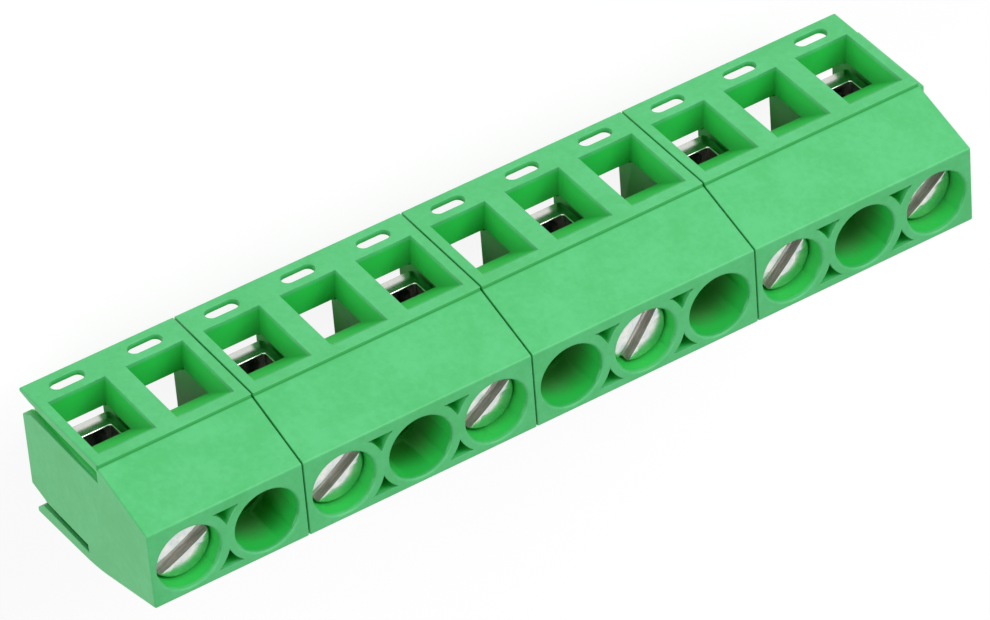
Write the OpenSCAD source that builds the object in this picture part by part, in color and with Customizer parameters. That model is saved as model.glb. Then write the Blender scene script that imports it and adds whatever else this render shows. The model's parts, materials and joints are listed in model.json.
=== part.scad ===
// PCB screw terminal with rising-cage clamps, in a row of joined housings.
//
// The row stands on its board: z = 0 is the board's surface, +Z points out of the screw face,
// -Y out of the wire face, and X runs along the row. The origin is where the solder pin of
// pole 1 enters the board. Lengths are in millimetres.
//
// Inside the modules, y is counted from the wire face, because wires, clamps and screws
// all line up behind it; on_board() moves a finished piece back to the pin line.

/* [Row] */
// Distance from pole to pole
pitch = 5; // [4.9:0.05:5.6]
// Poles in each housing, from the low end of the row
poles_each = [3, 3, 3, 2]; // [1:1:4]
// Every how many poles a clamp is fitted
clamp_step = 2; // [1:1:3]
// Gap between neighbouring housings
seam_gap = 0.1; // [0.05:0.01:0.2]
// Distance from the wire face back to the line of solder pins
face_to_pins = 5.4; // [5.2:0.05:5.6]

/* [Housing outline] */
// Height of the screw face over the board
height = 13.3; // [13:0.1:16]
// Height of the upright wire face
wire_face_height = 8.35; // [8:0.05:8.8]
// Step back of the slope at the top of the wire face
face_step = 0.2; // [0.05:0.01:0.25]
// Distance from the wire face to the front edge of the screw face
slope_setback = 1.71; // [1.3:0.01:1.9]
// Distance from the wire face to the rear edge of the screw face
screw_face_rear = 6.9; // [6.8:0.05:7.6]
// Distance from the wire face to the foot of the rear wall
foot_rear = 8.85; // [8.6:0.05:9.6]
// Distance from the wire face to the bend of the rear wall
bend_rear = 8.55; // [8.4:0.05:8.8]
// Height of the bend of the rear wall
bend_height = 6.83; // [6.4:0.01:7.4]
// Radius of the bend of the rear wall
bend_radius = 13; // [6:1:16]
// Radius of the outer edges along the row
edge_radius = 0.15; // [0.05:0.01:0.3]

/* [Housing underside] */
// Thickness of the front plate
plate_thick = 0.45; // [0.35:0.01:0.5]
// Thickness of the front plate at the board
plate_toe = 0.3; // [0.2:0.01:0.34]
// Distance from the wire face to the front edge of the cross walls
wall_front = 1.3; // [1.1:0.05:1.5]
// Distance from the wire face to the front of the seat on the board
seat_front = 1.9; // [1.7:0.05:2.1]
// Distance from the wire face to the rear of the seat on the board
seat_rear = 6.95; // [6.8:0.05:7.1]
// Height of the lead-in chamfer at the front of the cross walls
lead_in = 1.1; // [0.8:0.05:1.3]
// Height of the notch under the rear wall
notch_height = 1.4; // [1:0.05:1.8]
// Distance from the wire face to the front of the notch
notch_front = 7.3; // [7.2:0.05:7.5]
// Width of the top of the notch
notch_top = 0.3; // [0.1:0.05:0.5]
// Thickness of the rear foot
foot_thick = 0.35; // [0.2:0.05:0.6]
// Clearance of the rear foot over the board
foot_lift = 0.35; // [0.1:0.05:0.6]
// Height of the arch under each cross wall between two poles
arch_height = 0.8; // [0.4:0.05:1.4]
// Length of the front foot that each arch leaves
arch_foot = 1.2; // [0.8:0.05:1.6]

/* [Wire entry] */
// Width of the wire funnel at the wire face
funnel_width = 3.66; // [3.2:0.02:3.8]
// Width of the wire funnel at the chamber
throat_width = 3.36; // [3:0.02:3.6]
// Height of the lower wall of the funnel
funnel_low = 2.1; // [2:0.05:2.4]
// Height of the upper edge of the funnel at the wire face
funnel_high = 7.6; // [7:0.05:7.8]
// Height of the upper edge of the funnel at the chamber
throat_high = 4.7; // [4.2:0.05:5]
// Depth of the funnel
funnel_depth = 2; // [1.7:0.05:2.1]
// Thickness of the shelf under the funnel
shelf_thick = 0.5; // [0.4:0.05:0.7]
// Length of the slot in the front plate
slot_length = 2.15; // [1.6:0.05:2.6]
// Width of the slot in the front plate
slot_width = 0.9; // [0.5:0.02:0.92]
// Height of the middle of the slot over the board
slot_height = 1.08; // [0.9:0.01:1.1]

/* [Chamber] */
// Width of the chamber of each pole
chamber_width = 4.2; // [4.1:0.02:4.3]
// Gap between the fully lifted cage and the chamber's ceiling
ceiling_gap = 0.2; // [0.1:0.05:0.4]
// Gap between the contact's leg and the rear of the chamber
leg_gap = 0.03; // [0.02:0.01:0.1]
// Gap between the cage and the wall in front of it, above the funnel
guide_gap = 0.15; // [0.1:0.01:0.3]

/* [Screw bore] */
// Distance from the wire face to the screws' axes
face_to_screws = 4.5; // [4.45:0.01:4.55]
// Diameter of the bore for the screw head
bore_d = 4.1; // [4.1:0.02:4.3]
// Thickness of the web between the chamber and the seat of the screw head
seat_web = 1; // [0.8:0.05:1.3]
// Bevel of the bore's mouth
mouth_bevel = 0.1; // [0.04:0.01:0.15]
// Gap between the screw's shank and its hole in the housing
shank_gap = 0.15; // [0.08:0.01:0.25]
// Height of the two ribs on the rear of the bore's wall
rib_proud = 0.08; // [0.05:0.01:0.1]
// Width of the ribs, which are flat
rib_width = 1.1; // [0.5:0.05:1.2]
// Angle of the ribs from the row, seen from the screw face
rib_angle = 28; // [15:1:40]
// Wall left around each bore by the triangular pockets
pocket_ring = 0.59; // [0.45:0.01:0.6]
// How far the middles of the pockets' arcs lie in front of the screws' axes
pocket_ahead = 0.12; // [0:0.01:0.15]
// Distance from the wire face to the front of the front pockets
pocket_front = 2.38; // [2.3:0.01:2.6]
// Distance from the wire face to the rear of the rear pockets
pocket_rear = 6.4; // [6.2:0.01:6.45]
// Depth of the pockets
pocket_depth = 3.4; // [1:0.1:3.5]

/* [Joining tongues] */
// Height of the closed end of the front groove
front_groove_top = 8.2; // [7.8:0.05:8.25]
// Depth of the front groove into the end wall
front_groove_depth = 0.45; // [0.3:0.01:0.45]
// Distance from the wire face to the front groove
front_groove_near = 0.55; // [0.5:0.01:0.6]
// Width of the front groove
front_groove_width = 0.75; // [0.6:0.01:0.78]
// Height of the closed end of the rear groove
rear_groove_top = 6; // [5:0.1:6.5]
// Depth of the rear groove into the end wall
rear_groove_depth = 0.6; // [0.4:0.05:0.7]
// Width of the rear groove
rear_groove_width = 0.47; // [0.4:0.01:0.55]
// Distance from the front of the notch to the rear groove
rear_groove_inset = 0.07; // [0.05:0.01:0.12]
// Distance from the edge under each tongue to its lower end
tongue_lift = 0.1; // [0:0.05:0.5]
// Gap all round a tongue in its groove
tongue_gap = 0.07; // [0.04:0.01:0.1]
// Widening of the grooves and tongues towards their inner end
dovetail = 0.1; // [0.04:0.01:0.15]

/* [Cage] */
// Gap between the cage and each side of the chamber
side_gap = 0.15; // [0.1:0.01:0.25]
// Depth of the cage, front to rear
cage_depth = 3.6; // [3.5:0.02:3.62]
// Height of the open cage's underside over the board
cage_low = 1.8; // [1.7:0.05:1.9]
// Thickness of the cage's lower wall
cage_floor = 1.13; // [1:0.01:1.2]
// Thickness of the cage's threaded wall
cage_top = 1.6; // [1.5:0.05:2.1]
// Thickness of the cage's side walls
cage_wall = 0.55; // [0.5:0.01:0.75]
// Gap between the current bar and the top of the open cage's mouth
mouth_gap = 0.1; // [0.05:0.01:0.2]
// How far the screw lifts the cage to close it
cage_travel = 1.8; // [1.4:0.05:1.85]
// Radius of the cage's outer corners
cage_corner = 0.3; // [0.1:0.05:0.5]
// Radius of the corners of the cage's mouth
mouth_corner = 0.15; // [0.05:0.01:0.3]

/* [Contact] */
// Thickness of the contact strip
strip_thick = 0.6; // [0.5:0.02:0.62]
// Gap between the contact strip and each side of the cage's mouth
strip_gap = 0.25; // [0.15:0.01:0.4]
// Distance from the front of the cage to the front of the current bar
bar_inset = 0.2; // [0.1:0.05:0.5]
// Height of the current bar's underside over the board
bar_height = 4.85; // [4.8:0.01:5]
// Outer radius of the strip's bends
bend_outer = 0.9; // [0.7:0.05:1.1]
// Height of the foot's underside over the board
foot_height = 0.9; // [0.5:0.05:1]
// Gap between the cage and the contact
cage_gap = 0.12; // [0.1:0.01:0.15]
// Length of the foot in front of the pin's axis
foot_reach = 0.7; // [0.6:0.05:0.9]
// Diameter of the solder pin
pin_d = 1; // [0.8:0.05:1.2]
// Length of the solder pin below the board's surface
pin_length = 3.5; // [3:0.1:5]
// Length and depth of the pin's tapered tip
pin_tip = 0.25; // [0.1:0.05:0.3]

/* [Screw] */
// Gap between the screw head and the wall of its bore
head_gap = 0.15; // [0.15:0.01:0.3]
// Height of the screw head
head_height = 1.75; // [1:0.05:1.8]
// Radius of the rounded edge of the screw head
head_round = 0.2; // [0.15:0.05:0.5]
// Rise of the head's crown
head_crown = 0.08; // [0.04:0.01:0.15]
// Bevel of the screw's tip
tip_bevel = 0.3; // [0.1:0.05:0.5]
// Diameter of the screw's thread
thread_d = 3; // [2.6:0.05:3]
// Radial gap of the thread in the cage
thread_gap = 0.05; // [0.02:0.01:0.08]
// Gap under the head, and between the screw's tip and the current bar
seat_gap = 0.05; // [0.03:0.01:0.1]
// Width of the driver slot
driver_slot = 0.85; // [0.5:0.05:0.9]
// Depth of the driver slot
driver_depth = 0.75; // [0.4:0.05:0.9]
// How far each screw stands up off its seat, from the low end of the row
screw_lift = [0.06, 0.3, 0.5, 0.21, 0.35, 0.45]; // [0:0.01:0.6]
// Angle of each screw's slot from the row
slot_angle = [38, 46, 54, 38, 36, 27]; // [0:1:180]

/* [Hidden] */
housings = len(poles_each);
poles = sum_to(poles_each, housings);
clamp_poles = [for (p = [1:clamp_step:poles]) p];

housing_green = [0.27, 0.76, 0.42];
zinc_steel = [0.82, 0.83, 0.82];
nickel_plate = [0.72, 0.72, 0.70];
tin_plate = [0.80, 0.79, 0.76];

// Overshoot of a cut beyond the face that it opens
over = 1;
// Straight pieces in each rounded corner of an outline
corner_steps = 5;

cage_front = face_to_screws - cage_depth / 2;
cage_rear = face_to_screws + cage_depth / 2;
cage_width = chamber_width - 2 * side_gap;
cage_mouth = cage_width - 2 * cage_wall;
bar_top = bar_height + strip_thick;
cage_mouth_high = bar_top + mouth_gap;
cage_high = cage_mouth_high + cage_top;
strip_width = cage_mouth - 2 * strip_gap;
leg_front = cage_rear + cage_gap;
leg_rear = leg_front + strip_thick;
bar_front = cage_front + bar_inset;
chamber_rear = leg_rear + leg_gap;
ceiling = cage_high + cage_travel + ceiling_gap;
head_seat = ceiling + seat_web;
head_under = head_seat + seat_gap;
head_d = bore_d - 2 * head_gap;
screw_tip = bar_top + seat_gap;
rear_groove_near = notch_front + rear_groove_inset;
shelf_low = funnel_low - shelf_thick;

$fn = 96;

// Sum of the first n entries of a list
function sum_to(list, n) = n == 0 ? 0 : list[n - 1] + sum_to(list, n - 1);

// Middle of a pole along the row
function pole_x(pole) = (pole - 1) * pitch;

// First pole of a housing, and the ends of its moulding along the row
function first_pole(h) = 1 + sum_to(poles_each, h - 1);
function low_end(h) = pole_x(first_pole(h)) - (pitch - seam_gap) / 2;
function high_end(h) = low_end(h) + poles_each[h - 1] * pitch - seam_gap;

// Arc that rounds the corner b of the outline a, b, c
function unit(v) = v / norm(v);
function corner_arc(a, b, c, r) =
    r == 0 ? [[b.x, b.y]] :
    let (u = unit([a.x - b.x, a.y - b.y]), w = unit([c.x - b.x, c.y - b.y]),
         half = acos(u * w) / 2,
         tip = [b.x, b.y],
         centre = tip + unit(u + w) * r / sin(half),
         start = tip + u * r / tan(half) - centre,
         finish = tip + w * r / tan(half) - centre)
    [for (k = [0:corner_steps])
        centre + r * unit(start * (1 - k / corner_steps) + finish * k / corner_steps)];

// Outline through corners given as [x, y, radius]
function rounded(corners) =
    let (n = len(corners))
    [for (k = [0:n - 1])
        each corner_arc(corners[(k + n - 1) % n], corners[k], corners[(k + 1) % n], corners[k][2])];

// Moves a piece from the wire face's y to the pin line's
module on_board() {
    translate([0, -face_to_pins, 0]) children();
}

// Prism along the row between two x, from an outline in y and z
module along_row(x_low, x_high) {
    translate([x_low, 0, 0])
        rotate([90, 0, 90])
            linear_extrude(x_high - x_low) children();
}

// Outline of the moulding seen from the end of the row, in y and z
module side_outline() {
    polygon(rounded([
        [plate_toe, 0, 0],
        [0, 0, edge_radius],
        [0, wire_face_height, 0],
        [face_step, wire_face_height, 0],
        [slope_setback, height, edge_radius],
        [screw_face_rear, height, edge_radius],
        [bend_rear, bend_height, bend_radius],
        [foot_rear, foot_lift, 0],
        [foot_rear - foot_thick, foot_lift, 0],
        [notch_front + notch_top, notch_height, 0],
        [notch_front, notch_height, 0],
        [seat_rear, 0, 0],
        [seat_front, 0, 0],
        [wall_front, lead_in, 0],
        [wall_front, shelf_low, 0],
        [plate_thick, shelf_low, 0],
        [plate_thick, lead_in, 0]]));
}

// Funnel that leads a wire from the wire face to the cage
module funnel() {
    intersection() {
        along_row(-funnel_width, funnel_width)
            polygon([
                [0, funnel_low],
                [0, funnel_high],
                [funnel_depth, throat_high],
                [funnel_depth, funnel_low]]);
        linear_extrude(height)
            polygon([
                [-funnel_width / 2, 0],
                [funnel_width / 2, 0],
                [throat_width / 2, funnel_depth],
                [-throat_width / 2, funnel_depth]]);
    }
}

// Slot through the front plate, with round ends
module plate_slot() {
    straight = (slot_length - slot_width) / 2;
    translate([0, 0, slot_height]) rotate([90, 0, 0]) {
        for (side = [-1, 1])
            translate([side * straight, 0, -plate_thick - over])
                cylinder(d = slot_width, h = plate_thick + 2 * over);
        translate([-straight, -slot_width / 2, -plate_thick - over])
            cube([2 * straight, slot_width, plate_thick + 2 * over]);
    }
}

// Space for the clamp, open towards the board
module chamber() {
    guide = cage_front - guide_gap;
    translate([-chamber_width / 2, guide, -over])
        cube([chamber_width, chamber_rear - guide, ceiling + over]);
    translate([-chamber_width / 2, funnel_depth, shelf_low])
        cube([chamber_width, chamber_rear - funnel_depth, throat_high - shelf_low]);
    translate([-funnel_width / 2, funnel_depth, -over])
        cube([funnel_width, chamber_rear - funnel_depth, throat_high + over]);
    translate([-funnel_width / 2, plate_thick, -over])
        cube([funnel_width, funnel_depth - plate_thick + over, shelf_low + over]);
}

// Bore for the screw head, with the hole for its shank
module screw_bore() {
    translate([0, face_to_screws, 0]) {
        translate([0, 0, head_seat]) cylinder(d = bore_d, h = height - head_seat + over);
        translate([0, 0, ceiling - over])
            cylinder(d = thread_d + 2 * shank_gap, h = head_seat - ceiling + 2 * over);
        translate([0, 0, height - mouth_bevel])
            cylinder(d1 = bore_d, d2 = bore_d + 4 * mouth_bevel, h = 2 * mouth_bevel);
    }
}

// Ribs on the rear of the bore's wall
module bore_ribs() {
    for (side = [-1, 1])
        translate([0, face_to_screws, 0])
            rotate([0, 0, 90 + side * (90 - rib_angle)])
                translate([bore_d / 2 - rib_proud, -rib_width / 2, head_seat - rib_proud])
                    cube([2 * rib_proud, rib_width, height - mouth_bevel - head_seat]);
}

// Pair of triangular core pockets between a pole and the next
module pockets() {
    ring = bore_d + 2 * pocket_ring;
    difference() {
        translate([0, pocket_front, height - pocket_depth])
            cube([pitch, pocket_rear - pocket_front, pocket_depth + over]);
        for (x = [0, pitch])
            translate([x, face_to_screws - pocket_ahead, 0]) cylinder(d = ring, h = height + 2 * over);
    }
}

// Arch under the cross wall between a pole and the next
module arch() {
    translate([chamber_width / 2 - over, seat_front + arch_foot, -over])
        cube([pitch - chamber_width + 2 * over, chamber_rear - seat_front - arch_foot, arch_height + over]);
}

// Upright dovetail prism that starts at x = 0 and runs towards -X
module dovetail_prism(near, width, depth, z_low, z_high) {
    translate([0, near, z_low])
        linear_extrude(z_high - z_low)
            polygon([
                [0, 0],
                [-depth, 0],
                [-depth, width + dovetail],
                [0, width]]);
}

// Grooves in the high end of a housing, open towards the board
module grooves() {
    translate([over, 0, 0]) {
        dovetail_prism(front_groove_near, front_groove_width, over + front_groove_depth, -over, front_groove_top);
        dovetail_prism(rear_groove_near, rear_groove_width, over + rear_groove_depth, -over, rear_groove_top);
    }
}

// Tongue that fits a groove, standing out of the low end of a housing
module tongue(near, width, depth, z_low, z_high) {
    reach = depth - tongue_gap + seam_gap;
    translate([0, near + tongue_gap, z_low])
        linear_extrude(z_high - tongue_gap - z_low)
            polygon([
                [seam_gap, 0],
                [-reach, 0],
                [-reach, width + dovetail - 2 * tongue_gap],
                [-seam_gap, width - 2 * tongue_gap],
                [seam_gap, width - 2 * tongue_gap]]);
}

module tongues() {
    tongue(front_groove_near, front_groove_width, front_groove_depth, shelf_low + tongue_lift, front_groove_top);
    tongue(rear_groove_near, rear_groove_width, rear_groove_depth, notch_height + tongue_lift, rear_groove_top);
}

module housing(h) {
    first = first_pole(h);
    last = first + poles_each[h - 1] - 1;
    color(housing_green) on_board() {
        difference() {
            along_row(low_end(h), high_end(h)) side_outline();
            for (pole = [first:last])
                translate([pole_x(pole), 0, 0]) {
                    funnel();
                    plate_slot();
                    chamber();
                    screw_bore();
                }
            if (last > first)
                for (pole = [first:last - 1])
                    translate([pole_x(pole), 0, 0]) {
                        pockets();
                        arch();
                    }
            translate([high_end(h), 0, 0]) grooves();
        }
        for (pole = [first:last]) translate([pole_x(pole), 0, 0]) bore_ribs();
        translate([low_end(h), 0, 0]) tongues();
    }
}

// Cage that the screw lifts to clamp the wire against the bar
module cage(pole) {
    half = cage_width / 2;
    mouth = cage_mouth / 2;
    color(nickel_plate) on_board()
        translate([pole_x(pole), 0, 0])
            difference() {
                translate([0, cage_rear, 0]) rotate([90, 0, 0]) linear_extrude(cage_depth)
                    difference() {
                        polygon(rounded([
                            [-half, cage_low, cage_corner],
                            [half, cage_low, cage_corner],
                            [half, cage_high, cage_corner],
                            [-half, cage_high, cage_corner]]));
                        polygon(rounded([
                            [-mouth, cage_low + cage_floor, mouth_corner],
                            [mouth, cage_low + cage_floor, mouth_corner],
                            [mouth, cage_mouth_high, mouth_corner],
                            [-mouth, cage_mouth_high, mouth_corner]]));
                    }
                translate([0, face_to_screws, bar_top - cage_travel])
                    cylinder(d = thread_d + 2 * thread_gap, h = cage_high - bar_top + cage_travel + over);
            }
}

// Contact: current bar through the cage, leg behind it, foot below it, and solder pin
module contact(pole) {
    inner = bend_outer - strip_thick;
    color(tin_plate) on_board()
        translate([pole_x(pole), 0, 0]) {
            along_row(-strip_width / 2, strip_width / 2)
                polygon(rounded([
                    [bar_front, bar_top, 0],
                    [leg_rear, bar_top, bend_outer],
                    [leg_rear, foot_height, bend_outer],
                    [face_to_pins - foot_reach, foot_height, 0],
                    [face_to_pins - foot_reach, foot_height + strip_thick, 0],
                    [leg_front, foot_height + strip_thick, inner],
                    [leg_front, bar_height, inner],
                    [bar_front, bar_height, 0]]));
            translate([0, face_to_pins, 0]) {
                translate([0, 0, pin_tip - pin_length])
                    cylinder(d = pin_d, h = pin_length - pin_tip + foot_height + strip_thick / 2);
                translate([0, 0, -pin_length])
                    cylinder(d1 = pin_d - 2 * pin_tip, d2 = pin_d, h = pin_tip);
            }
        }
}

// Outline of half the screw head in radius and height, with a low crown and a rounded edge
function head_outline() =
    let (r = head_d / 2)
    rounded([
        [0, 0, 0],
        [r, 0, 0],
        [r, head_height - head_crown, head_round],
        [r / 2, head_height - head_crown / 4, 0],
        [0, head_height, 0]]);

// Slotted screw that turns in place and draws the cage up its thread
module screw(pole) {
    index = (pole - 1) / clamp_step;
    lift = screw_lift[index % len(screw_lift)];
    turn = slot_angle[index % len(slot_angle)];
    shank = head_under - screw_tip;
    color(zinc_steel) on_board()
        translate([pole_x(pole), face_to_screws, head_under + lift])
            rotate([0, 0, turn]) {
                difference() {
                    rotate_extrude() polygon(head_outline());
                    translate([-head_d, -driver_slot / 2, head_height - driver_depth])
                        cube([2 * head_d, driver_slot, head_height]);
                }
                translate([0, 0, tip_bevel - shank]) cylinder(d = thread_d, h = shank);
                translate([0, 0, -shank]) cylinder(d1 = thread_d - 2 * tip_bevel, d2 = thread_d, h = tip_bevel);
            }
}

for (h = [1:housings])
    housing(h);
for (p = clamp_poles)
    screw(p);
for (p = clamp_poles)
    cage(p);
for (p = clamp_poles)
    contact(p);
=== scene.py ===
"""The looks of a row of board-mounted screw terminals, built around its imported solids.

The row stands on its board with +Z out of the screw face, -Y out of the wire face and X along
the row. Every size here is in millimetres unless it says metres, and MM turns it into metres.
"""

import json
import logging
import math
from dataclasses import dataclass, field
from enum import Enum
from typing import Any, Callable, ClassVar, Iterator, Mapping, Optional, Union

import bmesh
import bpy
from mathutils import Matrix, Vector

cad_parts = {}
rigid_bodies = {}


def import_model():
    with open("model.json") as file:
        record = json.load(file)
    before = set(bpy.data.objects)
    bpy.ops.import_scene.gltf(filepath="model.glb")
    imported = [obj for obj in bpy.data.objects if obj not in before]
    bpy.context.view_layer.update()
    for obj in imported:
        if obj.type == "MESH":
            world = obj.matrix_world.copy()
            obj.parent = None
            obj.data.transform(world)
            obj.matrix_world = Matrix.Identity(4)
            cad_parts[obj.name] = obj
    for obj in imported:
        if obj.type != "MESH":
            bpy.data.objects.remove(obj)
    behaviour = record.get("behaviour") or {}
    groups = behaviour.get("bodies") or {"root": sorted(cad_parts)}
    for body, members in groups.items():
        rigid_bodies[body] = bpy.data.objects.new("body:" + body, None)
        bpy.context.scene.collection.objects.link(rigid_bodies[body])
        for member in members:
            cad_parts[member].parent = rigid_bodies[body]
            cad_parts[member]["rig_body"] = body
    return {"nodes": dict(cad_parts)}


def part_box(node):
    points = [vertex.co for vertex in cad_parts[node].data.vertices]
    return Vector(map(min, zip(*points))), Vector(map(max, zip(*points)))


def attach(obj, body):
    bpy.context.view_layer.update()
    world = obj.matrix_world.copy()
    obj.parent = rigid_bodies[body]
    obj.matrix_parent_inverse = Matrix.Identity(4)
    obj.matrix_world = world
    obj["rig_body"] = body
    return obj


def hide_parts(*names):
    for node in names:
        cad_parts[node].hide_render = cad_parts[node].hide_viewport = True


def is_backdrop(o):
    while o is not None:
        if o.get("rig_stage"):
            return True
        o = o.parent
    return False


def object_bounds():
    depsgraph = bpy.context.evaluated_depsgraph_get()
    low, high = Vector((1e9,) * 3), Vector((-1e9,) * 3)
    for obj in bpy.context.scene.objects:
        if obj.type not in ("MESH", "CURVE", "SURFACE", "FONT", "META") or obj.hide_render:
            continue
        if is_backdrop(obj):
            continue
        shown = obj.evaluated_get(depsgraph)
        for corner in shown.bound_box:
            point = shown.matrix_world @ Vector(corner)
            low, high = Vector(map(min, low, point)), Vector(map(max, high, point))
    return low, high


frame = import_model()

MM = 0.001
TOUCH = 0.01 * MM
SPECK = 1e-7
LOG = logging.getLogger("terminal_row")

Colour = tuple[float, float, float, float]
Way = tuple[float, float, float]
Span = tuple[float, float]
Number = Union[int, float]

WHITE: Colour = (1.0, 1.0, 1.0, 1.0)


class Slot(Enum):
    """The record's material slots."""

    HOUSING = "housing_moulding"
    SCREW = "screw_plating"
    CAGE = "cage_plating"
    CONTACT = "contact_plating"


class Key(Enum):
    """Where a Mix node keeps its colour inputs and output."""

    FACTOR = 0
    FIRST = 6
    SECOND = 7
    RESULT = 2


# --------------------------------------------------------------------------- node building


class Port:
    """An output socket whose arithmetic adds Math nodes to its tree."""

    def __init__(self, sheet: "NodeSheet", socket: bpy.types.NodeSocket) -> None:
        """Wraps one socket.

        Args:
            sheet: The sheet that the socket's node is on.
            socket: The output socket.
        """
        self.sheet = sheet
        self.socket = socket

    def _maths(self, operation: str, *terms: Union["Port", Number]) -> "Port":
        """Adds one Math node.

        Args:
            operation: What the node works out.
            terms: Its inputs, in order.

        Returns:
            The node's result.
        """
        return self.sheet.node(
            "ShaderNodeMath", {"operation": operation}, dict(enumerate(terms))
        )[0]

    def __add__(self, other: Union["Port", Number]) -> "Port":
        """This plus other."""
        return self._maths("ADD", self, other)

    __radd__ = __add__

    def __sub__(self, other: Union["Port", Number]) -> "Port":
        """This minus other."""
        return self._maths("SUBTRACT", self, other)

    def __rsub__(self, other: Union["Port", Number]) -> "Port":
        """Other minus this."""
        return self._maths("SUBTRACT", other, self)

    def __mul__(self, other: Union["Port", Number]) -> "Port":
        """This times other."""
        return self._maths("MULTIPLY", self, other)

    __rmul__ = __mul__

    def __abs__(self) -> "Port":
        """The size of this."""
        return self._maths("ABSOLUTE", self)

    def over(self, threshold: Union["Port", Number]) -> "Port":
        """One where this is over the threshold, and zero elsewhere."""
        return self._maths("GREATER_THAN", self, threshold)

    def at_most(self, cap: Union["Port", Number]) -> "Port":
        """The lesser of this and a cap."""
        return self._maths("MINIMUM", self, cap)


@dataclass(frozen=True)
class Lumps:
    """How a noise looks: the size of its lumps in millimetres, and how they break up."""

    size: float
    detail: float = 2.0
    roughness: float = 0.5
    swirl: float = 0.0


class MadeNode:
    """A node on a sheet, whose outputs are read by name or place."""

    def __init__(self, sheet: "NodeSheet", node: bpy.types.Node) -> None:
        """Wraps one node.

        Args:
            sheet: The sheet that the node is on.
            node: The node.
        """
        self.sheet = sheet
        self.node = node

    def __getitem__(self, output: Union[str, int]) -> Port:
        """One of the node's outputs."""
        return Port(self.sheet, self.node.outputs[output])


class NodeSheet:
    """A node tree that nodes are added to by type, settings and inputs."""

    def __init__(self, tree: bpy.types.NodeTree) -> None:
        """Starts a sheet on a tree.

        Args:
            tree: A shader, world or geometry node tree.
        """
        self.tree = tree

    def node(
        self,
        kind: str,
        settings: Optional[Mapping[str, Any]] = None,
        inputs: Optional[Mapping[Union[str, int], Any]] = None,
    ) -> MadeNode:
        """Adds a node.

        Args:
            kind: The node's type.
            settings: Its properties, which are set first.
            inputs: Values or ports by socket name or place.

        Returns:
            The node, for its outputs.
        """
        made = self.tree.nodes.new(kind)
        for name, value in (settings or {}).items():
            setattr(made, name, value)
        for name, value in (inputs or {}).items():
            socket = made.inputs[name]
            if isinstance(value, Port):
                self.tree.links.new(value.socket, socket)
            else:
                socket.default_value = value
        return MadeNode(self, made)

    def blend(self, factor: Union[Port, float], first: Any, second: Any) -> Port:
        """Mixes two colours.

        Args:
            factor: Share of the second colour.
            first: A colour or its port.
            second: A colour or its port.

        Returns:
            The mixed colour.
        """
        return self.node(
            "ShaderNodeMix",
            {"data_type": "RGBA"},
            {
                Key.FACTOR.value: factor,
                Key.FIRST.value: first,
                Key.SECOND.value: second,
            },
        )[Key.RESULT.value]

    def noise(self, vector: Port, lumps: Lumps) -> Port:
        """Adds a noise.

        Args:
            vector: Where to read it, in metres.
            lumps: How it looks.

        Returns:
            The noise, from 0 to 1.
        """
        return self.node(
            "ShaderNodeTexNoise",
            {"noise_dimensions": "3D"},
            {
                "Vector": vector,
                "Scale": 1.0 / (lumps.size * MM),
                "Detail": lumps.detail,
                "Roughness": lumps.roughness,
                "Distortion": lumps.swirl,
            },
        )["Fac"]

    def between(self, value: Port, low: float, high: float) -> Port:
        """Turns a value that runs from low to high into one from 0 to 1, held at the ends.

        Args:
            value: The value.
            low: Where the result is 0.
            high: Where the result is 1.

        Returns:
            The result, which leaves and meets its ends softly.
        """
        return self.node(
            "ShaderNodeMapRange",
            {"clamp": True, "interpolation_type": "SMOOTHSTEP"},
            {"Value": value, "From Min": low, "From Max": high},
        )["Result"]

    def bump(self, height: Port, depth: float, normal: Port) -> Port:
        """Adds a relief to a surface.

        Args:
            height: The relief, from 0 to 1.
            depth: Its depth in millimetres.
            normal: The normal that it starts from.

        Returns:
            The normal with the relief.
        """
        return self.node(
            "ShaderNodeBump",
            None,
            {"Strength": 1.0, "Distance": depth * MM, "Height": height, "Normal": normal},
        )["Normal"]

    def soft_edges(self, radius: float, samples: int) -> Port:
        """The normal with edges that look rounded by a radius in millimetres."""
        return self.node("ShaderNodeBevel", {"samples": samples}, {"Radius": radius * MM})["Normal"]

    def surface(self, inputs: Mapping[Union[str, int], Any]) -> None:
        """Ends a material in a principled surface with the given inputs."""
        made = self.node("ShaderNodeBsdfPrincipled", None, inputs)
        self.node("ShaderNodeOutputMaterial", None, {"Surface": made["BSDF"]})


def new_material(name: str) -> tuple[bpy.types.Material, NodeSheet]:
    """Makes an empty node material.

    Args:
        name: The material's name.

    Returns:
        The material and its sheet.
    """
    material = bpy.data.materials.new(name)
    material.use_nodes = True
    material.node_tree.nodes.clear()
    return material, NodeSheet(material.node_tree)


def local_place(sheet: NodeSheet, centre: Vector, turn: float = 0.0) -> Port:
    """Object coordinates counted from a piece's own centre.

    Args:
        sheet: The material's sheet.
        centre: The centre, in metres.
        turn: Angle about Z that the pattern is turned by, in radians.

    Returns:
        The coordinates.
    """
    place = sheet.node("ShaderNodeTexCoord")["Object"]
    return sheet.node(
        "ShaderNodeMapping",
        {"vector_type": "TEXTURE"},
        {"Vector": place, "Location": centre, "Rotation": (0.0, 0.0, turn)},
    )["Vector"]


# --------------------------------------------------------------------------- finishes


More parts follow.
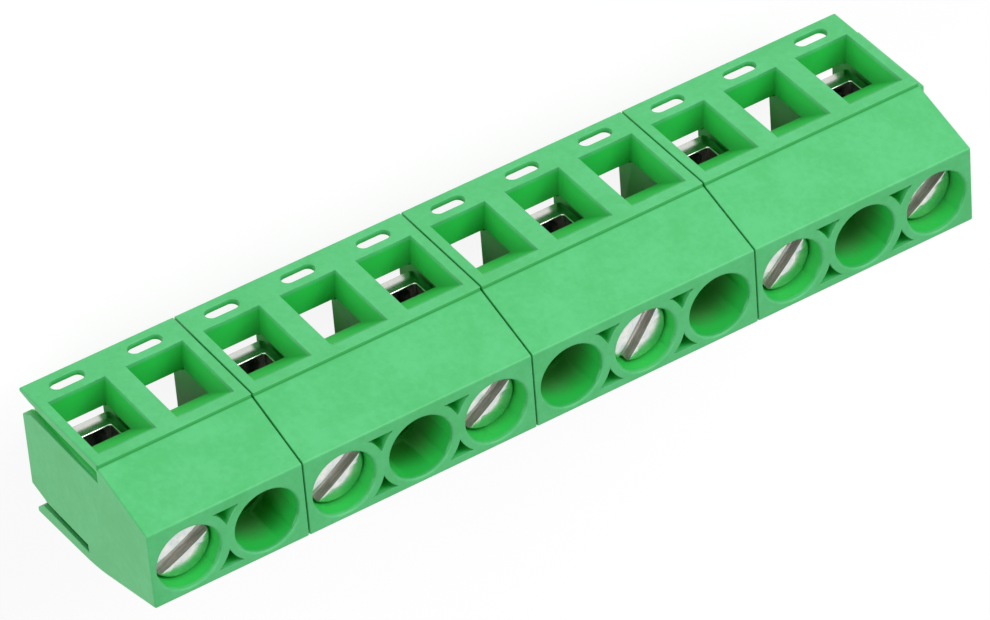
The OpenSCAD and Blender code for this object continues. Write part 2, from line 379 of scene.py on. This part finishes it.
@dataclass(frozen=True)
class OuterPlane:
    """The plane of one of the row's outer faces."""

    normal: Vector
    offset: float

    SPREAD: ClassVar[float] = 8.0
    LEAST_AREA: ClassVar[float] = 8.0

    @staticmethod
    def outermost(shape: bmesh.types.BMesh, way: Way) -> "OuterPlane":
        """Takes the plane of the broad face that lies furthest out on one side.

        Args:
            shape: The moulding's shape.
            way: The direction that the face looks, within SPREAD degrees.

        Returns:
            The plane.
        """
        limit = math.cos(math.radians(OuterPlane.SPREAD))
        aim = Vector(way).normalized()
        planes = [
            OuterPlane(face.normal.copy(), face.verts[0].co.dot(face.normal))
            for face in shape.faces
            if face.normal.dot(aim) > limit
            and face.calc_area() > OuterPlane.LEAST_AREA * MM * MM
        ]
        return max(planes, key=lambda plane: plane.offset)

    def below(self, point: Vector) -> float:
        """How far a point is below the face, in metres."""
        return self.offset - point.dot(self.normal)

    def depth(self, sheet: NodeSheet, place: Port) -> Port:
        """Works out how far a shaded place is below the face.

        Args:
            sheet: The material's sheet.
            place: The place.

        Returns:
            The depth in metres.
        """
        reach = sheet.node(
            "ShaderNodeVectorMath", {"operation": "DOT_PRODUCT"}, {0: place, 1: self.normal}
        )["Value"]
        return self.offset - reach


@dataclass(frozen=True)
class Skins:
    """The planes of the row's outer faces, and the height of the ledge over the wire face.

    The painted shadow along the ledge's hollow corner fades aside of that height, and towards the
    ledge's front and back, which are depths below the wire face. Each fade is a span in
    millimetres.
    """

    cored: tuple[OuterPlane, ...]
    plain: tuple[OuterPlane, ...]
    ends: tuple[OuterPlane, ...]
    ledge_height: float

    WIRE_WAY: ClassVar[Way] = (0.0, -1.0, 0.0)
    SCREW_WAY: ClassVar[Way] = (0.0, 0.0, 1.0)
    SLOPE_WAY: ClassVar[Way] = (0.0, -0.95, 0.31)
    REAR_WAYS: ClassVar[tuple[Way, ...]] = ((0.0, 0.95, 0.31), (0.0, 1.0, 0.0))
    FUNNEL_SHARE: ClassVar[float] = 0.5
    RIM_GAP: ClassVar[float] = 0.05
    FADE_ASIDE: ClassVar[Span] = (0.04, 0.11)
    FADE_FRONT: ClassVar[Span] = (0.03, 0.09)
    FADE_BACK: ClassVar[Span] = (0.30, 0.40)

    @staticmethod
    def found(first: bmesh.types.BMesh, last: bmesh.types.BMesh) -> "Skins":
        """Finds the planes.

        Args:
            first: The moulding at the row's low end.
            last: The moulding at its high end.

        Returns:
            The wire face and the screw face, by which the cores enter, then the slope and the
            two parts of the rear wall, and then the row's two ends.
        """
        wire = OuterPlane.outermost(last, Skins.WIRE_WAY)
        ledge = max(vert.co.z for vert in last.verts if wire.below(vert.co) < TOUCH)
        plain = (Skins.SLOPE_WAY, *Skins.REAR_WAYS)
        return Skins(
            (wire, OuterPlane.outermost(last, Skins.SCREW_WAY)),
            tuple(OuterPlane.outermost(last, way) for way in plain),
            (
                OuterPlane.outermost(last, (1.0, 0.0, 0.0)),
                OuterPlane.outermost(first, (-1.0, 0.0, 0.0)),
            ),
            ledge,
        )

    @staticmethod
    def _least(depths: list[Port]) -> Port:
        """Takes the least of some depths.

        Args:
            depths: The depths.

        Returns:
            The least of them.
        """
        least = depths[0]
        for depth in depths[1:]:
            least = least.at_most(depth)
        return least

    def depth(self, sheet: NodeSheet, place: Port) -> Port:
        """How far a place is below the nearest outer face, in metres."""
        planes = self.cored + self.plain + self.ends
        return self._least([plane.depth(sheet, place) for plane in planes])

    def reach(self, sheet: NodeSheet, place: Port) -> Port:
        """How far in a place is by way of the cores, in metres, where funnels count less."""
        wire, screws = (plane.depth(sheet, place) for plane in self.cored)
        return (wire * self.FUNNEL_SHARE).at_most(screws)

    def ledge(self, sheet: NodeSheet, place: Port) -> Port:
        """Tells whether a shaded place lies where a shadow is painted on the ledge over the wire
        face.

        Args:
            sheet: The material's sheet.
            place: The place.

        Returns:
            One where the painted shadow lies, zero away from it.
        """
        height = sheet.node("ShaderNodeSeparateXYZ", None, {"Vector": place})["Z"]
        back = self.cored[0].depth(sheet, place)
        aside, front, rear = (
            sheet.between(value, span[0] * MM, span[1] * MM)
            for value, span in (
                (abs(height - self.ledge_height), self.FADE_ASIDE),
                (back, self.FADE_FRONT),
                (back, self.FADE_BACK),
            )
        )
        return (1 - aside) * front * (1 - rear)

    def rims(self, edge: bmesh.types.BMEdge) -> bool:
        """Tells whether an edge runs round one of the row's ends.

        Args:
            edge: An edge of a moulding.

        Returns:
            Whether it lies in an end's plane, and on the outline of that end.
        """
        points = [vert.co for vert in edge.verts]
        in_end = any(all(abs(end.below(p)) < TOUCH for p in points) for end in self.ends)
        gaps = (min(abs(side.below(p)) for side in self.cored + self.plain) for p in points)
        return in_end and all(gap < self.RIM_GAP * MM for gap in gaps)


@dataclass(frozen=True)
class MouldedPolyamide:
    """Green polyamide with the fine spark grain of its tool, faint flow marks and painted shade in
    its recesses.
    """

    deep: Colour = (0.074, 0.500, 0.155, 1.0)
    pale: Colour = (0.100, 0.560, 0.205, 1.0)
    # Painted shade: the saturated green of the recesses below the skin.
    cored: Colour = (0.018, 0.540, 0.070, 1.0)
    # Painted shade: a near-black green for places deep inside the recesses.
    painted_deep_shade: Colour = (0.001, 0.170, 0.002, 1.0)
    # A painted shadow in the hollow corner of the ledge over the wire face.
    painted_crease_shadow: Colour = (0.014, 0.330, 0.055, 1.0)
    skin: float = 0.25
    # Depth in millimetres at which the painted shade is darkest.
    deep_shade_depth: float = 2.8
    flow: Lumps = Lumps(3.5, 3.0, 0.55, 0.6)
    flow_share: float = 0.6
    mottle: Lumps = Lumps(0.45, 3.0, 0.6)
    mottle_share: float = 0.4
    pale_from: Span = (0.33, 0.67)
    grain: Lumps = Lumps(0.075, 2.0, 0.6)
    grain_depth: float = 0.0016
    wave_depth: float = 0.004
    roughness: float = 0.42
    roughness_swing: float = 0.10
    cored_roughness: float = 0.62
    edge_round: float = 0.035
    edge_samples: int = 4
    refraction: float = 1.55
    gloss: float = 0.3

    def make(self, name: str, skins: Skins) -> bpy.types.Material:
        """Builds the material.

        Args:
            name: The material's name.
            skins: The planes of the outer faces, which are pale and grained. What lies
                further in was formed by cores and is plain; its colour there is painted shade,
                more saturated, and darker the further in it lies by way of the cores.

        Returns:
            The material.
        """
        material, sheet = new_material(name)
        place = sheet.node("ShaderNodeTexCoord")["Object"]
        skin = self.skin * MM
        # Below the skin the grain stops and the roughness rises, and the colour there is painted
        # shade.
        core = sheet.between(skins.depth(sheet, place), skin * 0.5, skin * 1.5)
        # This mask deepens the painted shade further in by way of the cores.
        deep_shade_mask = sheet.between(skins.reach(sheet, place), skin, self.deep_shade_depth * MM)
        flow = sheet.noise(place, self.flow)
        mottle = sheet.noise(place, self.mottle)
        grain = sheet.noise(place, self.grain)
        marks = flow * self.flow_share + mottle * self.mottle_share
        outer = sheet.blend(sheet.between(marks, *self.pale_from), self.deep, self.pale)
        # Painted shade: a saturated green in the recesses, going near black deep inside.
        painted_recess_colour = sheet.blend(deep_shade_mask, self.cored, self.painted_deep_shade)
        colour = sheet.blend(core, outer, painted_recess_colour)
        # Paints the shadow that falls in the ledge's hollow corner.
        colour = sheet.blend(skins.ledge(sheet, place), colour, self.painted_crease_shadow)
        rough = self.roughness + (mottle - 0.5) * self.roughness_swing
        rough = rough + core * (self.cored_roughness - self.roughness)
        edges = sheet.soft_edges(self.edge_round, self.edge_samples)
        waves = sheet.bump(mottle, self.wave_depth, edges)
        sheet.surface(
            {
                "Base Color": colour,
                "Roughness": rough,
                "Normal": sheet.bump(grain * (1 - core), self.grain_depth, waves),
                "IOR": self.refraction,
                "Specular IOR Level": self.gloss,
            }
        )
        return material


@dataclass(frozen=True)
class DriverSlot:
    """Where the slot is in a screw's head, in metres from the screw's centre."""

    half_width: float
    floor: float


@dataclass(frozen=True)
class PlatedMetal:
    """A plated metal with a clouded plate, fine scratches and rounded edges, and a screw slot with
    grime and painted shade.
    """

    bright: Colour
    dull: Colour
    roughness: float
    cloud: Lumps = Lumps(0.6, 4.0, 0.6)
    cloud_share: float = 0.7
    cloud_swing: float = 0.12
    scratch: Lumps = Lumps(0.05, 3.0, 0.65)
    scratch_share: float = 0.3
    scratch_swing: float = 0.08
    scratch_stretch: float = 14.0
    scratch_depth: float = 0.0005
    pits: Lumps = Lumps(0.12, 2.0, 0.6)
    pits_share: float = 1.5
    bright_from: Span = (0.35, 0.65)
    edge_round: float = 0.04
    edge_samples: int = 6
    # The slot's colours are partly grime and partly painted shade, darker than the plate.
    slot_shaded_clean: Colour = (0.56, 0.53, 0.48, 1.0)
    slot_grime_and_shade: Colour = (0.36, 0.33, 0.31, 1.0)
    slot_scratch_share: float = 0.65
    slot_cloud_share: float = 0.35
    slot_shaded_clean_from: Span = (0.38, 0.62)
    slot_bare: float = 0.35

    def make(
        self, name: str, centre: Vector, turn: float = 0.0, slot: Optional[DriverSlot] = None
    ) -> bpy.types.Material:
        """Builds the material for one piece.

        Args:
            name: The material's name.
            centre: The piece's centre, in metres.
            turn: Direction of the scratches about Z, in radians.
            slot: A slot along that direction, where the plate is thin and grimy and painted shade
                darkens it.

        Returns:
            The material.
        """
        material, sheet = new_material(name)
        place = local_place(sheet, centre, turn)
        cloud = sheet.noise(place, self.cloud)
        drawn = sheet.node(
            "ShaderNodeMapping",
            {"vector_type": "TEXTURE"},
            {"Vector": place, "Scale": (self.scratch_stretch, 1.0, 1.0)},
        )["Vector"]
        scratch = sheet.noise(drawn, self.scratch)
        pits = sheet.noise(place, self.pits)
        plate = cloud * self.cloud_share + scratch * self.scratch_share
        colour = sheet.blend(sheet.between(plate, *self.bright_from), self.dull, self.bright)
        metallic: Union[Port, float] = 1.0
        if slot:
            # Inside the slot the colour is grime and painted shade together, and the plate is less
            # metallic.
            axes = sheet.node("ShaderNodeSeparateXYZ", None, {"Vector": place})
            inside = (1 - abs(axes["Y"]).over(slot.half_width)) * axes["Z"].over(slot.floor)
            grime = scratch * self.slot_scratch_share + cloud * self.slot_cloud_share
            streak = sheet.between(grime, *self.slot_shaded_clean_from)
            shaded_grimy_lining = sheet.blend(streak, self.slot_grime_and_shade, self.slot_shaded_clean)
            colour = sheet.blend(inside, colour, shaded_grimy_lining)
            metallic = 1 - inside * (1 - self.slot_bare)
        rough = (
            self.roughness
            + (cloud - 0.5) * self.cloud_swing
            + (scratch - 0.5) * self.scratch_swing
        )
        edges = sheet.soft_edges(self.edge_round, self.edge_samples)
        relief = scratch + pits * self.pits_share
        sheet.surface(
            {
                "Base Color": colour,
                "Metallic": metallic,
                "Roughness": rough,
                "Normal": sheet.bump(relief, self.scratch_depth, edges),
            }
        )
        return material


ZINC = PlatedMetal(
    (0.82, 0.82, 0.77, 1.0), (0.60, 0.67, 0.68, 1.0), 0.24, scratch_depth=0.0003
)
NICKEL = PlatedMetal((0.80, 0.79, 0.76, 1.0), (0.66, 0.65, 0.62, 1.0), 0.20)
TIN = PlatedMetal((0.80, 0.79, 0.76, 1.0), (0.62, 0.60, 0.56, 1.0), 0.34)


# --------------------------------------------------------------------------- mesh building


def convex(edge: bmesh.types.BMEdge) -> bool:
    """Tells whether an edge stands out."""
    return edge.is_convex


@dataclass
class CrispCopy:
    """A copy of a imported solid's mesh with merged faces and eased edges."""

    node: str
    name: str
    edge: float
    merged: float = 0.001
    flat_angle: float = 0.5
    sharp_angle: float = 32.0
    fold_angle: float = 3.5
    broad: float = 0.5

    def shape(self) -> bmesh.types.BMesh:
        """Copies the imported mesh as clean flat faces.

        Returns:
            The copy.
        """
        shape = bmesh.new()
        shape.from_mesh(frame["nodes"][self.node].data)
        bmesh.ops.remove_doubles(shape, verts=shape.verts, dist=self.merged * MM)
        bmesh.ops.dissolve_limit(
            shape,
            angle_limit=math.radians(self.flat_angle),
            verts=shape.verts,
            edges=shape.edges,
        )
        return shape

    def ease(
        self,
        shape: bmesh.types.BMesh,
        width: Optional[float] = None,
        chosen: Callable[[bmesh.types.BMEdge], bool] = convex,
        segments: int = 2,
    ) -> None:
        """Rounds sharp edges of a shape, and keeps it inside its own box.

        Args:
            shape: The shape, which is changed.
            width: Width of the rounding in millimetres, or the copy's own.
            chosen: Tells which of the sharp edges are rounded.
            segments: Steps across the rounding.
        """
        limit = math.radians(self.sharp_angle)
        low, high = (
            [pick(vert.co[axis] for vert in shape.verts) for axis in range(3)]
            for pick in (min, max)
        )
        sharp = [
            edge
            for edge in shape.edges
            if len(edge.link_faces) == 2 and edge.calc_face_angle(0.0) > limit and chosen(edge)
        ]
        bmesh.ops.bevel(
            shape,
            geom=sharp,
            offset=(self.edge if width is None else width) * MM,
            offset_type="OFFSET",
            segments=segments,
            profile=0.5,
            affect="EDGES",
            clamp_overlap=False,
        )
        for vert in shape.verts:
            for axis in range(3):
                vert.co[axis] = min(max(vert.co[axis], low[axis]), high[axis])
        bmesh.ops.dissolve_degenerate(shape, dist=SPECK, edges=shape.edges)

    def finish(self, shape: bmesh.types.BMesh) -> bpy.types.Object:
        """Turns a shape into a shaded piece, with folds between broad faces kept sharp.

        Args:
            shape: The shape, which is used up.

        Returns:
            The piece, at the origin.
        """
        for edge in shape.edges:
            if len(edge.link_faces) == 2:
                fold = edge.calc_face_angle(0.0)
                broad = all(breadth(face) > self.broad * MM for face in edge.link_faces)
                edge.smooth = not (broad and fold > math.radians(self.fold_angle))
        mesh = bpy.data.meshes.new(self.name)
        shape.to_mesh(mesh)
        shape.free()
        mesh.shade_smooth()
        piece = bpy.data.objects.new(self.name, mesh)
        bpy.context.scene.collection.objects.link(piece)
        shading = piece.modifiers.new("even_shading", "WEIGHTED_NORMAL")
        shading.mode = "FACE_AREA"
        shading.weight = 100
        shading.keep_sharp = True
        return settled(piece)


def breadth(face: bmesh.types.BMFace) -> float:
    """How broad a face is across its longest edge, in metres."""
    longest = max(edge.calc_length() for edge in face.edges)
    return face.calc_area() / longest if longest > 0.0 else 0.0


def settled(piece: bpy.types.Object) -> bpy.types.Object:
    """Applies a piece's modifiers.

    Args:
        piece: The piece.

    Returns:
        The same piece, with a plain mesh and no modifiers.
    """
    bpy.context.view_layer.update()
    graph = bpy.context.evaluated_depsgraph_get()
    mesh = bpy.data.meshes.new_from_object(
        piece.evaluated_get(graph), preserve_all_data_layers=True, depsgraph=graph
    )
    mesh.name = piece.name
    piece.modifiers.clear()
    piece.data = mesh
    return piece


def dress(piece: bpy.types.Object, finish: bpy.types.Material) -> None:
    """Gives a piece one finish all over.

    Args:
        piece: The piece.
        finish: The material.
    """
    piece.data.materials.clear()
    piece.data.materials.append(finish)
    for face in piece.data.polygons:
        face.material_index = 0


def seat(piece: bpy.types.Object, node: str) -> None:
    """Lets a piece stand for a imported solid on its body.

    Args:
        piece: The piece.
        node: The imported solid's name.
    """
    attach(piece, frame["nodes"][node]["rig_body"])
    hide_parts(node)
    LOG.info("%s stands for %s with %d faces", piece.name, node, len(piece.data.polygons))


# --------------------------------------------------------------------------- sub-assemblies


@dataclass
class HousingRow:
    """The joined green mouldings."""

    finish: MouldedPolyamide = field(default_factory=MouldedPolyamide)
    edge: float = 0.05
    end_edge: float = 0.12
    end_steps: int = 3
    merged: float = 0.008

    def build(self) -> list[bpy.types.Object]:
        """Builds one shell for each moulding.

        Returns:
            The shells.
        """
        nodes = sorted(n for n in frame["nodes"] if n.startswith("housing_"))
        copies = [
            CrispCopy(n, n.replace("housing", "shell"), self.edge, self.merged)
            for n in nodes
        ]
        shapes = [copy.shape() for copy in copies]
        skins = Skins.found(shapes[0], shapes[-1])
        material = self.finish.make("green_polyamide", skins)
        shells = []
        for node, copy, shape in zip(nodes, copies, shapes):
            copy.ease(shape, self.end_edge, skins.rims, self.end_steps)
            copy.ease(shape)
            shell = copy.finish(shape)
            dress(shell, material)
            seat(shell, node)
            shells.append(shell)
        return shells


class ThreadTree:
    """A Geometry Nodes tree that winds a thread's ridge round an upright core.

    The ridge is a wedge. Its width is along the core, from a deep side to a shallow side, and
    both sides are centred on the mean radius.
    """

    SIZES: ClassVar[tuple[str, ...]] = (
        "Mean Radius",
        "Ridge Width",
        "Deep Side",
        "Shallow Side",
        "Pitch",
        "Turns",
    )
    STEPS_A_TURN: ClassVar[int] = 40

    def __init__(self) -> None:
        """Builds the tree once, for every screw."""
        self.tree = bpy.data.node_groups.new("wound_thread", "GeometryNodeTree")
        face = self.tree.interface
        face.new_socket("Geometry", in_out="INPUT", socket_type="NodeSocketGeometry")
        for name in self.SIZES:
            face.new_socket(name, in_out="INPUT", socket_type="NodeSocketFloat")
        face.new_socket("Start", in_out="INPUT", socket_type="NodeSocketVector")
        face.new_socket("Finish", in_out="INPUT", socket_type="NodeSocketMaterial")
        face.new_socket("Geometry", in_out="OUTPUT", socket_type="NodeSocketGeometry")
        self._wire()

    def _wire(self) -> None:
        """Adds the nodes: a helix, a ridge swept along it, and the core it joins."""
        sheet = NodeSheet(self.tree)
        given = sheet.node("NodeGroupInput")
        helix = sheet.node(
            "GeometryNodeCurveSpiral",
            None,
            {
                "Resolution": self.STEPS_A_TURN,
                "Rotations": given["Turns"],
                "Start Radius": given["Mean Radius"],
                "End Radius": given["Mean Radius"],
                "Height": given["Turns"] * given["Pitch"],
            },
        )
        upright = sheet.node(
            "GeometryNodeSetCurveNormal", {"mode": "Z_UP"}, {"Curve": helix["Curve"]}
        )
        ridge = sheet.node(
            "GeometryNodeCurvePrimitiveQuadrilateral",
            {"mode": "TRAPEZOID"},
            {
                "Height": given["Ridge Width"],
                "Bottom Width": given["Deep Side"],
                "Top Width": given["Shallow Side"],
                "Offset": 0.0,
            },
        )
        swept = sheet.node(
            "GeometryNodeCurveToMesh",
            None,
            {"Curve": upright["Curve"], "Profile Curve": ridge["Curve"], "Fill Caps": True},
        )
        placed = sheet.node(
            "GeometryNodeTransform",
            None,
            {"Geometry": swept["Mesh"], "Translation": given["Start"]},
        )
        joined = sheet.node("GeometryNodeJoinGeometry")
        for part in (given["Geometry"], placed["Geometry"]):
            self.tree.links.new(part.socket, joined.node.inputs[0])
        real = sheet.node(
            "GeometryNodeRealizeInstances", None, {"Geometry": joined["Geometry"]}
        )
        coated = sheet.node(
            "GeometryNodeSetMaterial",
            None,
            {"Geometry": real["Geometry"], "Material": given["Finish"]},
        )
        sheet.node("NodeGroupOutput", None, {"Geometry": coated["Geometry"]})

    def apply(self, piece: bpy.types.Object, values: Mapping[str, Any]) -> bpy.types.Object:
        """Winds the thread on a piece.

        Args:
            piece: The piece, with its core.
            values: The tree's inputs by name.

        Returns:
            The piece, with a plain mesh.
        """
        winding = piece.modifiers.new("thread", "NODES")
        winding.node_group = self.tree
        for socket in self.tree.interface.items_tree:
            if socket.in_out == "INPUT" and socket.name in values:
                winding[socket.identifier] = values[socket.name]
        return settled(piece)


@dataclass
class ClampScrew:
    """A slotted screw with a wound thread."""

    pole: int
    thread: ThreadTree
    finish: PlatedMetal = ZINC
    pitch: float = 0.5
    outer: float = 1.5
    ridge_width: float = 0.40
    deep_side: float = 0.29
    shallow_side: float = 0.07
    head_height: float = 1.75
    slot_width: float = 0.85
    slot_depth: float = 0.75
    slot_wall: float = 0.01
    slot_skin: float = 0.02
    bare_neck: float = 0.7
    bare_point: float = 0.3
    unwound: float = 0.35
    turn_parts: int = 4
    edge: float = 0.025
    UPRIGHT: ClassVar[float] = 0.01

    def _slot_turn(self, shape: bmesh.types.BMesh) -> float:
        """Finds which way the driver slot runs.

        Args:
            shape: The screw's shape.

        Returns:
            The slot's angle about Z, in radians.
        """
        walls = [
            face
            for face in shape.faces
            if abs(face.normal.z) < self.UPRIGHT and len(face.verts) >= 4
        ]
        widest = max(walls, key=lambda face: face.calc_area())
        return math.atan2(widest.normal.y, widest.normal.x) + math.pi / 2

    def build(self) -> bpy.types.Object:
        """Builds the screw.

        Returns:
            The screw.
        """
        node = f"screw_{self.pole}"
        low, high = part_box(node)
        axis = (low + high) / 2
        copy = CrispCopy(node, f"clamp_screw_{self.pole}", self.edge)
        shape = copy.shape()
        turn = self._slot_turn(shape)
        copy.ease(shape)
        self._thin_core(shape, axis, high.z - self.head_height * MM / 2)
        screw = copy.finish(shape)
        slot = DriverSlot(
            (self.slot_width / 2 + self.slot_wall) * MM,
            high.z - axis.z - (self.slot_depth + self.slot_skin) * MM,
        )
        finish = self.finish.make(f"zinc_plate_{self.pole}", axis, turn, slot)
        neck = high.z - (self.head_height + self.bare_neck) * MM
        length = neck - low.z - self.unwound * MM
        turns = math.floor(length / (self.pitch * MM) * self.turn_parts) / self.turn_parts
        self.thread.apply(
            screw,
            {
                "Mean Radius": (self.outer - self.deep_side / 2) * MM,
                "Ridge Width": self.ridge_width * MM,
                "Deep Side": self.deep_side * MM,
                "Shallow Side": self.shallow_side * MM,
                "Pitch": self.pitch * MM,
                "Turns": turns,
                "Start": (axis.x, axis.y, low.z + self.bare_point * MM),
                "Finish": finish,
            },
        )
        dress(screw, finish)
        seat(screw, node)
        return screw

    def _thin_core(self, shape: bmesh.types.BMesh, axis: Vector, top: float) -> None:
        """Draws the shank in to the thread's core.

        Args:
            shape: The screw's shape, which is changed.
            axis: A point on the screw's axis.
            top: Height in metres below which the shank lies.
        """
        core = (self.outer - self.deep_side) * MM
        for vert in shape.verts:
            arm = Vector((vert.co.x - axis.x, vert.co.y - axis.y))
            if vert.co.z < top and arm.length < self.outer * MM + TOUCH:
                arm = arm * min(1.0, core / max(arm.length, SPECK))
                vert.co.x, vert.co.y = axis.x + arm.x, axis.y + arm.y


@dataclass
class PlatedPart:
    """A plated part that has one finish all over and no other mesh than its solid's."""

    pole: int

    SOLID: ClassVar[str]
    PIECE: ClassVar[str]
    PLATE: ClassVar[str]
    SLOT: ClassVar[Slot]
    FINISH: ClassVar[PlatedMetal]
    EDGE: ClassVar[float]

    def build(self) -> bpy.types.Object:
        """Builds the part.

        Returns:
            The part.
        """
        node = f"{self.SOLID}_{self.pole}"
        low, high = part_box(node)
        copy = CrispCopy(node, f"{self.PIECE}_{self.pole}", self.EDGE)
        shape = copy.shape()
        copy.ease(shape)
        part = copy.finish(shape)
        dress(part, self.FINISH.make(f"{self.PLATE}_{self.pole}", (low + high) / 2))
        seat(part, node)
        return part


@dataclass
class RisingCage(PlatedPart):
    """A cage that the screw lifts."""

    SOLID = "cage"
    PIECE = "rising_cage"
    PLATE = "nickel_plate"
    SLOT = Slot.CAGE
    FINISH = NICKEL
    EDGE = 0.08


@dataclass
class BentContact(PlatedPart):
    """A contact strip with its solder pin."""

    SOLID = "contact"
    PIECE = "bent_contact"
    PLATE = "tin_plate"
    SLOT = Slot.CONTACT
    FINISH = TIN
    EDGE = 0.04


@dataclass
class TerminalRow:
    """The whole row: mouldings, and a clamp in every fitted pole."""

    housings: HousingRow = field(default_factory=HousingRow)

    def poles(self) -> Iterator[int]:
        """Reads the fitted poles off the screws' nodes.

        Returns:
            Their numbers, in order.
        """
        yield from sorted(
            int(name.split("_")[1]) for name in frame["nodes"] if name.startswith("screw_")
        )

    def build(self) -> None:
        """Builds every piece."""
        self.housings.build()
        thread = ThreadTree()
        for pole in self.poles():
            ClampScrew(pole, thread).build()
            RisingCage(pole).build()
            BentContact(pole).build()


# --------------------------------------------------------------------------- studio


@dataclass(frozen=True)
class SoftLamp:
    """A soft box that faces the row. Its distance and size are in metres."""

    name: str
    azimuth: float
    elevation: float
    distance: float
    size: float
    level: float

    def build(self, centre: Vector) -> bpy.types.Object:
        """Hangs the lamp.

        Args:
            centre: What it faces, in metres.

        Returns:
            The lamp.
        """
        lamp = bpy.data.lights.new(self.name, "AREA")
        lamp.shape = "SQUARE"
        lamp.size = self.size
        lamp.energy = self.level * math.pi * self.size**2
        holder = bpy.data.objects.new(self.name, lamp)
        bpy.context.scene.collection.objects.link(holder)
        back = direction(self.azimuth, self.elevation)
        holder.location = centre + back * self.distance
        holder.rotation_mode = "QUATERNION"
        holder.rotation_quaternion = back.to_track_quat("Z", "Y")
        return holder


def direction(azimuth: float, elevation: float) -> Vector:
    """The way from the row towards a viewer.

    Args:
        azimuth: Degrees from -Y towards +X.
        elevation: Degrees above the board.

    Returns:
        The unit direction.
    """
    turn, rise = math.radians(azimuth), math.radians(elevation)
    return Vector(
        (
            math.sin(turn) * math.cos(rise),
            -math.cos(turn) * math.cos(rise),
            math.sin(rise),
        )
    )


@dataclass(frozen=True)
class RolledCamera:
    """A long lens that looks down at the row's front and high end, rolled about its axis."""

    azimuth: float = 31.467
    elevation: float = 41.868
    roll: float = 132.683
    distance: float = 409.09
    lens: float = 263.97
    aside: float = 0.029
    above: float = -0.746
    sensor: float = 36.0
    clip: Span = (0.05, 20.0)

    def build(self, centre: Vector) -> bpy.types.Object:
        """Sets the camera up.

        Args:
            centre: The row's centre, in metres.

        Returns:
            The camera.
        """
        back = direction(self.azimuth, self.elevation)
        level = (-back).cross(Vector((0.0, 0.0, 1.0))).normalized()
        plumb = level.cross(-back)
        roll = math.radians(self.roll)
        right = level * math.cos(roll) + plumb * math.sin(roll)
        up = plumb * math.cos(roll) - level * math.sin(roll)
        data = bpy.data.cameras.new("studio_camera")
        data.lens = self.lens
        data.sensor_width = self.sensor
        data.clip_start, data.clip_end = self.clip
        camera = bpy.data.objects.new("studio_camera", data)
        bpy.context.scene.collection.objects.link(camera)
        aim = centre + right * (self.aside * MM) + up * (self.above * MM)
        place = Matrix.Identity(4)
        for column, axis in enumerate((right, up, back, aim + back * (self.distance * MM))):
            for row in range(3):
                place[row][column] = axis[row]
        camera.matrix_world = place
        bpy.context.scene.camera = camera
        return camera


@dataclass
class Studio:
    """The plain white floor, the soft lamps and the camera. Its own sizes are in metres."""

    ambient: float = 0.32
    floor_size: float = 3.0
    floor_gap: float = 0.00002
    floor_share: float = 0.20
    floor_glow: float = 1.08
    floor_colour: Colour = (0.92, 0.92, 0.92, 1.0)
    lamps: tuple[SoftLamp, ...] = (
        SoftLamp("front_box", -28.0, 35.0, 0.60, 0.42, 4.6),
        SoftLamp("side_box", 78.0, 28.0, 0.70, 0.50, 2.3),
    )
    camera: RolledCamera = field(default_factory=RolledCamera)

    def build(self, low: Vector, high: Vector) -> None:
        """Builds the studio around the row.

        Args:
            low: Lowest corner of the row, in metres.
            high: Highest corner.
        """
        centre = (low + high) / 2
        bpy.context.scene.view_settings.view_transform = "Standard"
        self._floor(low.z, centre)
        self._world()
        for lamp in self.lamps:
            lamp.build(centre)
        self.camera.build(centre)

    @staticmethod
    def _seen(sheet: NodeSheet) -> Port:
        """Tells whether a ray shows the background: straight, mirrored or let through.

        Args:
            sheet: The sheet of the material or the world.

        Returns:
            One for such a ray, zero for others.
        """
        path = sheet.node("ShaderNodeLightPath")
        return (
            path["Is Camera Ray"] + path["Is Glossy Ray"] + path["Is Transmission Ray"]
        ).at_most(1.0)

    def _floor(self, level: float, centre: Vector) -> None:
        """Lays the floor just under the pins.

        Args:
            level: The floor's height, in metres.
            centre: The row's centre.
        """
        material, sheet = new_material("white_floor")
        paper = sheet.node("ShaderNodeBsdfDiffuse", None, {"Color": self.floor_colour})
        glow = sheet.node(
            "ShaderNodeEmission", None, {"Color": WHITE, "Strength": self.floor_glow}
        )
        mix = sheet.node(
            "ShaderNodeMixShader",
            None,
            {
                0: self._seen(sheet) * (1.0 - self.floor_share),
                1: paper["BSDF"],
                2: glow["Emission"],
            },
        )
        sheet.node("ShaderNodeOutputMaterial", None, {"Surface": mix["Shader"]})
        shape = bmesh.new()
        bmesh.ops.create_grid(shape, x_segments=1, y_segments=1, size=self.floor_size / 2)
        mesh = bpy.data.meshes.new("floor")
        shape.to_mesh(mesh)
        shape.free()
        floor = bpy.data.objects.new("floor", mesh)
        bpy.context.scene.collection.objects.link(floor)
        floor.location = (centre.x, centre.y, level - self.floor_gap)
        mesh.materials.append(material)
        floor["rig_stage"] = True

    def _world(self) -> None:
        """Surrounds the row with white, at a lower level where it only lights."""
        world = bpy.data.worlds.new("white_room")
        world.use_nodes = True
        world.node_tree.nodes.clear()
        sheet = NodeSheet(world.node_tree)
        level = self._seen(sheet) * (1.0 - self.ambient) + self.ambient
        white = sheet.node("ShaderNodeBackground", None, {"Color": WHITE, "Strength": level})
        sheet.node("ShaderNodeOutputWorld", None, {"Surface": white["Background"]})
        bpy.context.scene.world = world


def main() -> None:
    """Builds the row and its studio."""
    logging.basicConfig(level=logging.INFO, format="%(name)s: %(message)s")
    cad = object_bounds()
    TerminalRow().build()
    Studio().build(*cad)


if __name__ == "__main__":
    main()
